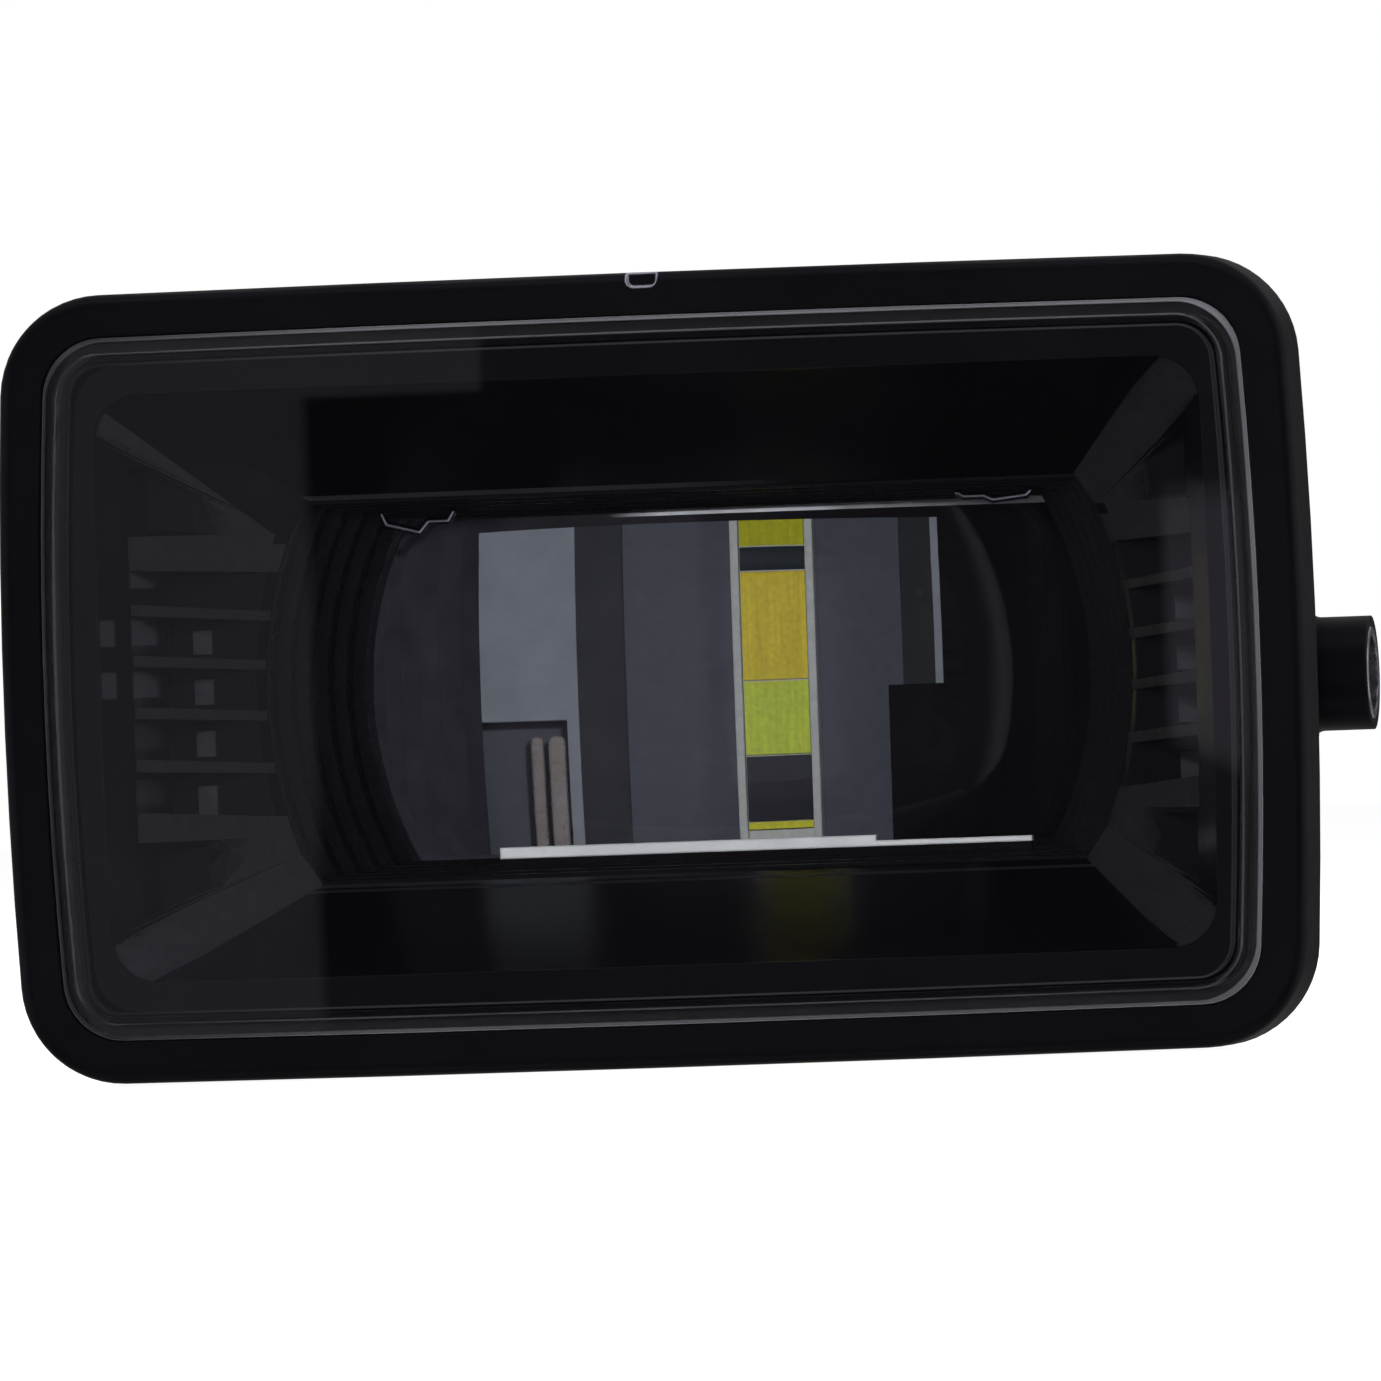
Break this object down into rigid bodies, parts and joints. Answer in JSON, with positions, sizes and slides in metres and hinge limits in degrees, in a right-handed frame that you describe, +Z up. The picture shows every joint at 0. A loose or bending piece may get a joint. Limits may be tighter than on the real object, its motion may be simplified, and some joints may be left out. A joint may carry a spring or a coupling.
{
  "type": "fog light",
  "caption": "Rectangular LED projector fog lamp: clear front cover, louvred black funnel round a cut-disc lens, side pivot tubes, finned heat sink and aiming screw.",
  "frame": {"origin": "on the common axis of the two side pivots, midway between them", "axes": "the lamp shines along -Y, +X is to the right for a viewer who faces it, +Z is up; +X lies along the pivot axis"},
  "size_m": [0.1522, 0.1184, 0.088],
  "materials": {
    "clear_cover": "gloss, clear polycarbonate",
    "seal_rubber": "matt",
    "housing_plastic": "fine satin",
    "sleeve_steel": "satin",
    "bezel_plastic": "gloss with satin louvres",
    "holder_plastic": "satin",
    "optic_clear": "gloss, clear",
    "trim_white": "semi-gloss white",
    "clip_wire": "bright",
    "shield_plastic": "satin",
    "reflector_grey": "satin light grey",
    "zinc_screw": "zinc",
    "board_metal": "white solder mask over aluminium",
    "ceramic": "matt white",
    "phosphor": "matt yellow",
    "tinned_brass": "tinned",
    "thermal_pad": "matt",
    "cast_aluminium": "as cast",
    "circuit_board": "green solder mask",
    "ferrite": "matt",
    "capacitor_can": "satin",
    "chip_plastic": "matt",
    "flex_strip": "semi-gloss",
    "connector_plastic": "satin",
    "membrane": "matt white",
    "cap_plastic": "satin",
    "spring_steel": "dark",
    "nylon": "natural nylon"
  },
  "bodies": {
    "lamp": {"cover_lens": "clear_cover", "lens_seal": "seal_rubber", "housing": "housing_plastic", "pivot_sleeve_left": "sleeve_steel", "pivot_sleeve_right": "sleeve_steel", "bezel": "bezel_plastic", "lens_holder": "holder_plastic", "projector_lens": "optic_clear", "lens_trim": "trim_white", "lens_clips": "clip_wire", "light_shield": "shield_plastic", "reflector": "reflector_grey", "carrier_screws": "zinc_screw", "led_board": "board_metal", "led_package": "ceramic", "led_phosphor": "phosphor", "led_leads": "tinned_brass", "board_screws": "zinc_screw", "thermal_pad": "thermal_pad", "heat_sink": "cast_aluminium", "heat_sink_gasket": "seal_rubber", "heat_sink_screws": "zinc_screw", "driver_board": "circuit_board", "driver_inductor": "ferrite", "driver_capacitors": "capacitor_can", "driver_chip": "chip_plastic", "led_link": "flex_strip", "connector_shell": "connector_plastic", "connector_pins": "tinned_brass", "connector_seal": "seal_rubber", "vent_membrane": "membrane", "vent_cap": "cap_plastic"},
    "aiming_screw": {"adjuster_screw": "zinc_screw", "adjuster_clip": "spring_steel"},
    "travelling_nut": {"adjuster_nut": "nylon"}
  },
  "joints": [
    {"name": "screw_turn", "type": "hinge", "parent": "lamp", "child": "aiming_screw", "pos_m": [0, 0.03, -0.0346], "axis": [0, 1, 0], "range_deg": [-1800, 1800]},
    {"name": "nut_travel", "type": "slide", "parent": "lamp", "child": "travelling_nut", "axis": [0, 1, 0], "range_m": [-0.005, 0.005]}
  ],
  "couplings": [
    {"joint": "nut_travel", "follows": "screw_turn", "m_per_rad": -0.00015915}
  ]
}
